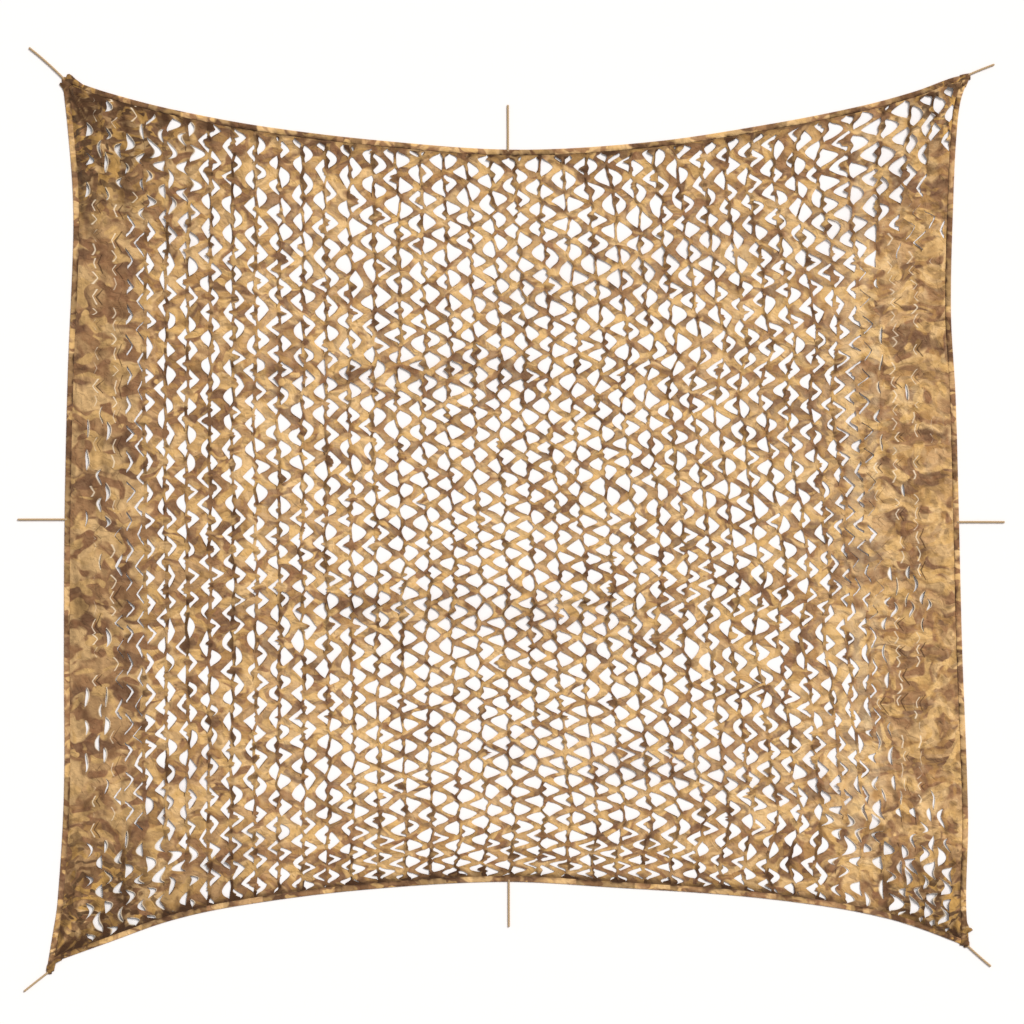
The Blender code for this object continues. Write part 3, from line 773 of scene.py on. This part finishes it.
def ground_swell(x, y):
    """How far the ridges lift the cloth."""
    height = np.zeros_like(x)
    for ridge_x, ridge_y, heading, length, breadth, rise in RIDGES:
        turn = math.radians(heading)
        along = (x - ridge_x) * math.cos(turn) + (y - ridge_y) * math.sin(turn)
        aside = (y - ridge_y) * math.cos(turn) - (x - ridge_x) * math.sin(turn)
        reach = np.maximum(0.0, 1.0 - (2.0 * along / length) ** 2)
        height += rise * reach * np.exp(-(aside / breadth) ** 2)
    return height


# Where the corners' gathers spread from, how far they reach, how dark their painted shade is and how many
# there are.
GATHERS = (
    (TOP_LEFT, 0.66, 0.44, 9.0),
    (TOP_RIGHT, 0.40, 0.00, 8.0),
    (BOTTOM_RIGHT, 0.46, 0.68, 9.0),
    (BOTTOM_LEFT, 0.66, 0.24, 9.0),
)


def crumples(x, y):
    """Height of the small creases where the cloth isn't pulled open, the painted shade of its creases
    and gathers, how slack the cloth is, and how crushed."""
    left, right = ease((-1.20 - x) / 0.06), ease((x - 1.14) / 0.06)
    beside = np.maximum(left, right)
    crossed = 1.0 - 2.2 * np.abs(soft_noise(x * 20.0 + 5.0 * y, y * 14.0 - 3.0 * x, 21))
    finer = 1.0 - 2.2 * np.abs(soft_noise(x * 44.0 - 9.0 * y, y * 26.0 + 4.0 * x, 22))
    streaks = soft_noise(x * 75.0 + 9.0 * y, y * 11.0, 24)
    creased = beside * (0.0026 * crossed + 0.0016 * finer + 0.0008 * streaks)
    # Painted shade: darker in the troughs of the creases, paler on their crests.
    crumple_shade = beside * (0.09 - 0.11 * crossed - 0.12 * finer + 0.12 * streaks)
    # Some parts are darker or paler as a whole: the margins, the border of the right one, a band across
    # the middle, and the strips next to the bottom and top tapes.
    crumple_shade += 0.30 * left
    crumple_shade += 0.03 * right
    crumple_shade += 0.16 * ease((-0.83 - x) / 0.07) * (1.0 - left)
    crumple_shade -= 0.22 * np.exp(-((x - 1.19) / 0.07) ** 2)
    crumple_shade += 0.06 * np.exp(-((y - BAND_LEVEL) / BAND_HALF) ** 2)
    crumple_shade += (0.16 * ease((-0.94 - y) / 0.18) + 0.10 * ease((y - 1.04) / 0.13)) * (np.abs(x) < 1.3)
    # Beside the tapes the cloth is pleated, with painted shade in its pleats, and darker along the bottom
    # one.
    from_top, from_bottom = top_at(x) - y, y - bottom_at(x)
    at_bottom = from_bottom < from_top
    hem = np.minimum(from_top, from_bottom)
    hemmed = 1.0 - ease((hem - 0.028) / 0.035)
    pleats = soft_noise(x * 46.0, hem * 12.0, 23)
    creased += hemmed * 0.0028 * (1.0 + pleats)
    crumple_shade += hemmed * (0.26 + 0.08 * at_bottom - 0.34 * pleats)
    # A line of painted shade runs just inside each tape, where the slits stop.
    strip = np.exp(-((hem - HEM_DEPTH) / 0.007) ** 2) * (0.7 + 0.9 * pleats) * ease((1.25 - np.abs(x)) / 0.3)
    crumple_shade += (0.25 + 0.20 * at_bottom) * strip
    crushed_here = np.maximum(0.55 * hemmed, 0.36 * (1.0 - left))
    for (corner_x, corner_y), reach, darkness, spokes in GATHERS:
        away = np.hypot(x - corner_x, y - corner_y)
        heading = np.arctan2(y - corner_y, x - corner_x)
        near = (1.0 - ease(away / reach)) ** 0.8
        spoke = soft_noise(heading * spokes, away * 4.0, 25)
        spoke = spoke + 0.5 * soft_noise(heading * 3 * spokes, away * 9.0, 26)
        crushed = 1.0 - 2.0 * np.abs(soft_noise(x * 34.0, y * 34.0, 29))
        # Painted shade of the gathers: darker near each corner and between its spokes, paler on them.
        crumple_shade += near * (0.80 * darkness - 0.27 * np.tanh(2.2 * spoke) - 0.06 * crushed)
        creased += near * (0.0024 * (1.0 + spoke) + 0.0018 * crushed)
        crushed_here = np.maximum(crushed_here, ease(1.6 * near))
    for level in WRINKLE_LEVELS:
        # A line of painted shade along each wrinkle across the netting.
        crease = np.exp(-((y - level - 0.010 * soft_noise(x * 6.0, y * 0.0, 27)) / 0.012) ** 2)
        crumple_shade += 0.30 * crease * (0.5 + soft_noise(x * 18.0, y * 3.0, 28))
    return np.maximum(creased + 0.001, 0.0), crumple_shade, np.maximum(beside, hemmed), crushed_here


# The print's colours over its sand ground: ink, place and turn of its screen, the share of the noise
# that it leaves free, its fineness, and whether it is seen only where the cloth is crushed.
GROUND = "#C29766"
INKS = (
    ("#9C7049", (3.0, 1.0, 0.0), 0.2, 0.500, 6.2, False),
    ("#724C33", (11.0, 5.0, 0.0), -0.4, 0.540, 6.6, False),
    ("#DCB27A", (27.0, 9.0, 0.0), 0.7, 0.545, 7.4, False),
    ("#8F6240", (17.0, 3.0, 0.0), 0.9, 0.580, 13.0, False),
    ("#D6AA6C", (5.0, 13.0, 0.0), 1.2, 0.580, 14.0, False),
    ("#7C5634", (31.0, 23.0, 0.0), 0.5, 0.520, 20.0, True),
    ("#C8984F", (37.0, 29.0, 0.0), -0.7, 0.545, 22.0, True),
    # The last ink, near black-brown, is painted shade in crushed folds rather than print.
    ("#4E3218", (41.0, 7.0, 0.0), 0.1, 0.590, 27.0, True),
)
# The faded colour is wear; the others are a painted highlight, painted shade, and a cut edge that is pale
# from fraying and painted lit.
FADED, HIGHLIGHT_SAND, SHADE_BROWN, LIT_CUT_EDGE = "#E6C391", "#F2D6A8", "#452A12", "#F6E3C6"


def camouflage_cloth(name, fineness):
    """Printed polyester oxford: plain weave, matt, a soft print in earth colours, faded a little, with
    painted shade and painted highlights laid over it.
    """
    material, shader = new_material(name, {
        "Sheen Weight": 0.12, "Sheen Roughness": 0.5, "Specular IOR Level": 0.25,
    })
    where = add_node(material, "ShaderNodeTexCoord").outputs["Object"]
    # What each vertex says: how crushed it is, its print and painted shade or highlight, how slack it is,
    # and its painted line along a cut edge.
    crushed, print_and_painted_light, slack, rim = (
        add_node(material, "ShaderNodeAttribute", attribute_name=layer).outputs["Fac"]
        for layer in ("crushed", "print_and_painted_light", "loose", "rim")
    )
    # The print runs in smooth blotches about 0.1 m across, drawn out in sweeps.
    sweeping = add_node(material, "ShaderNodeTexNoise", {
        "Vector": where, "Scale": 7.5 * fineness, "Detail": 1.5, "Roughness": 0.5,
    })
    shifted = add_node(material, "ShaderNodeVectorMath", {
        0: sweeping.outputs["Color"], 1: (0.14 / fineness, 0.14 / fineness, 0.0),
    }, operation="MULTIPLY")
    wavy = add_node(material, "ShaderNodeVectorMath", {0: where, 1: shifted.outputs[0]}, operation="ADD")
    layers = []
    for ink, offset, turn, threshold, scale, crushed_only in INKS:
        screen = add_node(material, "ShaderNodeMapping", {
            "Vector": wavy.outputs[0],
            "Location": offset,
            "Rotation": (0.0, 0.0, turn),
            "Scale": (1.0, 1.5, 1.0),
        })
        blotch = add_node(material, "ShaderNodeTexNoise", {
            "Vector": screen.outputs["Vector"],
            "Scale": scale * fineness,
            "Detail": 1.2,
            "Roughness": 0.5,
        })
        cover = add_node(material, "ShaderNodeMapRange", {
            "Value": blotch.outputs["Fac"], "From Min": threshold - 0.024, "From Max": threshold + 0.024,
        }).outputs["Result"]
        if crushed_only:
            # Where the cloth is crushed together, small folded pieces of the print lie side by side, and the
            # darkest of these inks is painted shade in the folds.
            folds = add_node(material, "ShaderNodeMath", {0: cover, 1: crushed}, operation="MULTIPLY")
            cover = folds.outputs[0]
        layers.append((cover, ink))
    fading = add_node(material, "ShaderNodeTexNoise", {"Vector": where, "Scale": 60.0, "Detail": 4.0})
    faded = add_node(material, "ShaderNodeMapRange", {
        "Value": fading.outputs["Fac"], "From Min": 0.30, "From Max": 0.75, "To Max": 0.16,
    })
    # Painted highlight: cloth that is turned up to the light has a shade below 0, and is painted paler.
    painted_highlight = add_node(material, "ShaderNodeMath", {
        0: print_and_painted_light, 1: -1.0,
    }, operation="MULTIPLY", use_clamp=True)
    # Sharp small creases where the cloth is slack: thin lines of painted shade, a hand's breadth long.
    creasing = add_node(material, "ShaderNodeTexNoise", {
        "Vector": where, "Scale": 17.0, "Detail": 3.0, "Distortion": 1.6,
    })
    on_crease = add_node(material, "ShaderNodeMath", {
        0: creasing.outputs["Fac"], 1: 0.5, 2: 0.016,
    }, operation="COMPARE")
    sharp = add_node(material, "ShaderNodeMath", {0: on_crease.outputs[0], 1: slack}, operation="MULTIPLY")
    crease_shade_lines = add_node(material, "ShaderNodeMath", {
        0: sharp.outputs[0], 1: 0.12,
    }, operation="MULTIPLY", use_clamp=True)
    # A fine line along a cut edge: painted shade where the edge turns down, and where it turns up a painted
    # highlight together with the pale of its fray.
    edge_shade_line = add_node(material, "ShaderNodeMapRange", {
        "Value": rim, "From Min": 0.60, "From Max": 0.82, "To Max": 0.80,
    })
    frayed_and_lit_edge = add_node(material, "ShaderNodeMapRange", {
        "Value": rim, "From Min": -0.55, "From Max": -0.85, "To Max": 0.85,
    })
    # Fading is wear; the other layers are painted highlight, painted shade and painted edge lines.
    layers += [
        (faded.outputs["Result"], FADED),
        (painted_highlight.outputs[0], HIGHLIGHT_SAND),
        (print_and_painted_light, SHADE_BROWN),
        (crease_shade_lines.outputs[0], SHADE_BROWN),
        (edge_shade_line.outputs["Result"], SHADE_BROWN),
        (frayed_and_lit_edge.outputs["Result"], LIT_CUT_EDGE),
    ]
    colour = linear(GROUND)
    for cover, ink in layers:
        colour = add_node(material, "ShaderNodeMix", {
            0: cover, 6: colour, 7: linear(ink),
        }, data_type="RGBA").outputs[2]
    feed(material, colour, shader, "Base Color")
    # Oxford threads are about 0.5 mm apart; drawn at 2 mm so that they still show.
    warp, weft = (
        add_node(material, "ShaderNodeTexWave", {"Vector": where, "Scale": 157.0}, bands_direction=way)
        for way in ("X", "Y")
    )
    weave = add_node(material, "ShaderNodeMath", {
        0: warp.outputs["Fac"], 1: weft.outputs["Fac"],
    }, operation="MULTIPLY")
    woven = add_node(material, "ShaderNodeBump", {
        "Strength": 0.25, "Distance": 0.0004, "Height": weave.outputs[0],
    })
    # Small creases pressed in by folding, 10 to 30 mm apart and 2 to 3 mm deep.
    pressed = add_node(material, "ShaderNodeTexNoise", {
        "Vector": where, "Scale": 42.0, "Detail": 2.5, "Roughness": 0.5, "Distortion": 1.0,
    })
    raised = add_node(material, "ShaderNodeBump", {
        "Strength": 1.0,
        "Distance": 0.0070,
        "Height": pressed.outputs["Fac"],
        "Normal": woven.outputs["Normal"],
    })
    feed(material, raised.outputs["Normal"], shader, "Normal")
    rough = add_node(material, "ShaderNodeMapRange", {
        "Value": fading.outputs["Fac"], "To Min": 0.74, "To Max": 0.92,
    })
    feed(material, rough.outputs["Result"], shader, "Roughness")
    return material


# The flat edge of the cloth lies this high, and no ridge or fold reaches past the two limits.
CLOTH_LIFT = 0.0012
CLOTH_LOWEST = 0.0004
CLOTH_HIGHEST = 0.0185


def pull_open(name, first, last, material):
    """Slit the part of the sheet between two lines and open it, as one piece."""
    bm = bmesh.new()
    bmesh.ops.create_grid(bm, x_segments=last - first, y_segments=NET_ROWS, size=1.0)
    layers = float_layers(bm, "print_and_painted_light", "rim", "loose", "crushed")

    def line_and_row(co):
        line = first + round(0.5 * (co.x + 1.0) * (last - first))
        return line, round(0.5 * (1.0 - co.y) * NET_ROWS)

    cuts = []
    for edge in bm.edges:
        one, other = (line_and_row(v.co) for v in edge.verts)
        if one[0] == other[0] and first < one[0] < last and is_slit[one[0], min(one[1], other[1])]:
            cuts.append(edge)
    bmesh.ops.split_edges(bm, edges=cuts)
    found = []
    for vertex in bm.verts:
        line, row = line_and_row(vertex.co)
        middle = sum(face.calc_center_median().x for face in vertex.link_faces) / len(vertex.link_faces)
        found.append((line, row, 1 if middle > vertex.co.x + 1e-6 else 0))
    lines, rows, sides = (np.array(part) for part in zip(*found))
    x, lift, shade, rim = line_looks[:, sides, lines, rows]
    y = level_at(x, rows / NET_ROWS)
    y = y + 0.0018 * soft_noise(x * 25.0, y * 25.0, 11)
    inside = np.minimum(np.minimum(top_at(x) - y, y - bottom_at(x)),
                        np.minimum(x - left_at(y), right_at(y) - x))
    free = unit((inside - 0.015) / 0.02)
    creased, crumple_shade, loose, crushed = crumples(x, y)
    height = CLOTH_LIFT + free * (ground_swell(x, y) + lift + creased)
    height = np.clip(height, CLOTH_LOWEST, CLOTH_HIGHEST)
    # The painted shade and highlight of the bands and of the crumples go into one layer for the material.
    for vertex, *place, dark, near_rim, slack, crush in zip(
            bm.verts, x, y, height, shade + crumple_shade, rim, loose, crushed):
        vertex.co = place
        for layer, value in zip(layers, (dark, near_rim, slack, crush)):
            vertex[layer] = value
    return add_piece(name, bm, material)


# The sheet is one cloth; it is kept as two pieces that meet along the middle of a strand.
middle_line = first_line_of[bands.index(("strand", COLUMNS // 2, STRAND_QUADS))] + STRAND_QUADS // 2
cloth = camouflage_cloth("printed oxford cloth", 1.0)
net = pull_open("netting_cloth_left", 0, middle_line, cloth)
net_right = pull_open("netting_cloth_right", middle_line, line_count, cloth)
for half in (net, net_right):
    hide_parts("net_panel")

# ---------------------------------------------------------------- edge tape
# A folded tape of the same cloth, 19 mm wide, sewn over the gathered raw edge with one line of
# stitches near its inner fold.

TAPE_WIDTH = 0.019
TAPE_HALF_THICKNESS = 0.0022
TAPE_STEP = 0.005
TAPE_SIDES = 12
# The print changes from dark to light every few centimetres: what share of these lengths is no darker
# than each shade, and the shade.  Towards both its ends the tape is crushed over the last length.
PRINT_LENGTH = 0.060
PRINT_SHADES = ((0.40, 0.03), (0.58, 0.28), (1.00, 0.56))
CRUSHED_LENGTH = 0.30

tape_cloth = camouflage_cloth("printed edge tape", 1.4)
for edge in EDGE_ENDS:
    points = LINES[edge]
    inward = np.array(EDGE_ENDS[edge][2])
    length = float(np.sum(np.hypot(*np.diff(points, axis=0).T)))
    bm = bmesh.new()
    bmesh.ops.create_grid(bm, x_segments=TAPE_SIDES, y_segments=round(length / TAPE_STEP), size=1.0)
    shade_layer, crushed_layer = float_layers(bm, "print_and_painted_light", "crushed")
    for vertex, around, down in grid_places(bm):
        point = down * (LINE_POINTS - 1)
        plan = np.array([np.interp(point, range(LINE_POINTS), part) for part in points.T])
        angle = 2 * math.pi * around
        depth = 0.5 * TAPE_WIDTH * (1.0 - math.copysign(abs(math.cos(angle)) ** 0.6, math.cos(angle)))
        bulge = TAPE_HALF_THICKNESS * math.copysign(abs(math.sin(angle)) ** 0.8, math.sin(angle))
        inner = depth / TAPE_WIDTH
        pucker = noise.noise(Vector((down * length * 60.0, inner * 1.5, len(edge))))
        patch = noise.noise(Vector((down * length * 9.0, 3.0, len(edge) * 2.0)))
        luck = float(hashed(math.floor(down * length / PRINT_LENGTH + 1.6 * patch), len(edge)))
        # A painted highlight along the outer fold, painted shade along the stitched inner edge and in the
        # puckers all along, over the print's own shades.
        inner_edge_shade = 0.45 * max(0.0, inner - 0.66) / 0.34 * (0.9 + 1.0 * pucker)
        outer_fold_highlight = 0.12 * max(0.0, 0.25 - inner) / 0.25
        printed = next(shade for share, shade in PRINT_SHADES if luck < share)
        vertex[shade_layer] = inner_edge_shade - outer_fold_highlight + 0.20 * pucker + printed
        vertex[crushed_layer] = float(ease(1.0 - min(down, 1.0 - down) * length / CRUSHED_LENGTH))
        plan = plan + inward * depth
        height = TAPE_HALF_THICKNESS + 0.0004 + bulge * (1.0 + 0.5 * pucker)
        vertex.co = (plan[0], plan[1], max(height, 0.0002))
    close_tube(bm)
    tape = add_piece("edge_tape_" + edge, bm, tape_cloth)
    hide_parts("binding_" + edge)

# ---------------------------------------------------------------- corner folds
# At each corner the ends of two tapes are turned in over the cord and sewn through, which leaves a small
# crumpled pad of doubled cloth; at three corners an end sticks out as an ear.

PAD_BASE = 0.0006
PAD_HEIGHT = 0.0062
# For each corner: the tape that it belongs to, how dark it is, and its outline.
PADS = {
    "top_left": ("binding_top", 0.66, (
        (-1.4728, 1.4933), (-1.4702, 1.4990), (-1.4625, 1.5000), (-1.4542, 1.4947), (-1.4408, 1.4820),
        (-1.4242, 1.4700), (-1.4142, 1.4620), (-1.4208, 1.4533), (-1.4375, 1.4600), (-1.4542, 1.4650),
        (-1.4642, 1.4567), (-1.4708, 1.4400), (-1.4808, 1.4400), (-1.4858, 1.4517), (-1.4922, 1.4600),
        (-1.4965, 1.4667), (-1.4925, 1.4713), (-1.4835, 1.4713), (-1.4808, 1.4793), (-1.4725, 1.4807),
    )),
    "top_right": ("binding_top", 0.42, (
        (1.5058, 1.4967), (1.5208, 1.5000), (1.5365, 1.5027), (1.5372, 1.4833), (1.5325, 1.4733),
        (1.5258, 1.4567), (1.5142, 1.4600), (1.5125, 1.4733), (1.5042, 1.4817),
    )),
    "bottom_right": ("binding_bottom", 0.62, (
        (1.5252, -1.3167), (1.5312, -1.3317), (1.5372, -1.3453), (1.5438, -1.3467), (1.5492, -1.3540),
        (1.5425, -1.3580), (1.5305, -1.3597), (1.5272, -1.3700), (1.5278, -1.3867), (1.5332, -1.3980),
        (1.5338, -1.4073), (1.5065, -1.4047), (1.5058, -1.3987), (1.5092, -1.3833), (1.5042, -1.3667),
        (1.5058, -1.3433), (1.5125, -1.3267),
    )),
    "bottom_left": ("binding_left", 0.62, (
        (-1.5242, -1.4400), (-1.5325, -1.4600), (-1.5382, -1.4733), (-1.5402, -1.4867), (-1.5348, -1.4983),
        (-1.5275, -1.4953), (-1.5142, -1.4900), (-1.5108, -1.4733), (-1.5068, -1.4600), (-1.4875, -1.4533),
        (-1.4942, -1.4400), (-1.5075, -1.4450),
    )),
}

for corner, (node, darkness, outline) in PADS.items():
    centre = sum((Vector(point) for point in outline), Vector((0.0, 0.0))) / len(outline)
    bm = bmesh.new()
    shade_layer, crushed_layer = float_layers(bm, "print_and_painted_light", "crushed")
    bmesh.ops.create_circle(bm, cap_ends=True, cap_tris=True, segments=len(outline), radius=1.0)
    for vertex in bm.verts:
        if vertex.co.length > 0.5:
            turn = math.atan2(vertex.co.y, vertex.co.x) / (2 * math.pi)
            vertex.co = (*outline[round(turn * len(outline)) % len(outline)], 0.0)
        else:
            vertex.co = (*centre, 0.0)
    bmesh.ops.subdivide_edges(bm, edges=bm.edges, cuts=3, use_grid_fill=True)
    raised = bmesh.ops.extrude_face_region(bm, geom=bm.faces[:])["geom"]
    for vertex in bm.verts:
        vertex.co.z = PAD_BASE
    for part in raised:
        if isinstance(part, bmesh.types.BMVert):
            part.co.z = PAD_HEIGHT
    for vertex in bm.verts:
        # Painted shade: each pad's set darkness, varied darker and paler by its crumples.
        crumple = noise.noise(Vector((vertex.co.x * 70.0, vertex.co.y * 70.0, 4.0)))
        vertex[shade_layer] = darkness + 0.55 * crumple
        vertex[crushed_layer] = 1.0
        if vertex.co.z > 0.001:
            # The top is uneven, and lower all round its rim.
            at_rim = any(abs(edge.other_vert(vertex).co.z - PAD_BASE) < 1e-6 for edge in vertex.link_edges)
            vertex.co.z += 0.003 * crumple - 0.0018 * at_rim
    bmesh.ops.recalc_face_normals(bm, faces=bm.faces)
    pad = add_piece("corner_fold_" + corner, bm, tape_cloth)
    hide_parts(node)

# ---------------------------------------------------------------- ground and light
# A plain white studio floor under one soft key light, with an even white surround.

bm = bmesh.new()
bmesh.ops.create_grid(bm, x_segments=2, y_segments=2, size=6.0)
floor_mesh = bpy.data.meshes.new("studio_floor")
bm.to_mesh(floor_mesh)
bm.free()
floor = bpy.data.objects.new("studio_floor", floor_mesh)
floor.location.z = -0.0002
bpy.context.scene.collection.objects.link(floor)
paper, _ = new_material("matt white paper", {
    "Base Color": linear("#F1ECEA"), "Roughness": 0.9, "Specular IOR Level": 0.1,
})
floor_mesh.materials.append(paper)

world = bpy.data.worlds.new("studio")
world.use_nodes = True
world.node_tree.nodes["Background"].inputs["Color"].default_value = linear("#FFFFFF")
world.node_tree.nodes["Background"].inputs["Strength"].default_value = 0.46
bpy.context.scene.world = world

key_data = bpy.data.lights.new("key_light", "SUN")
key_data.angle = math.radians(26.0)
key_data.energy = 3.05
key = bpy.data.objects.new("key_light", key_data)
key.location = (4.5, 5.5, 8.5)
key.rotation_euler = (Vector((0.0, 0.0, 0.0)) - key.location).to_track_quat("-Z", "Y").to_euler()
bpy.context.scene.collection.objects.link(key)

bpy.context.scene.view_settings.view_transform = "Standard"
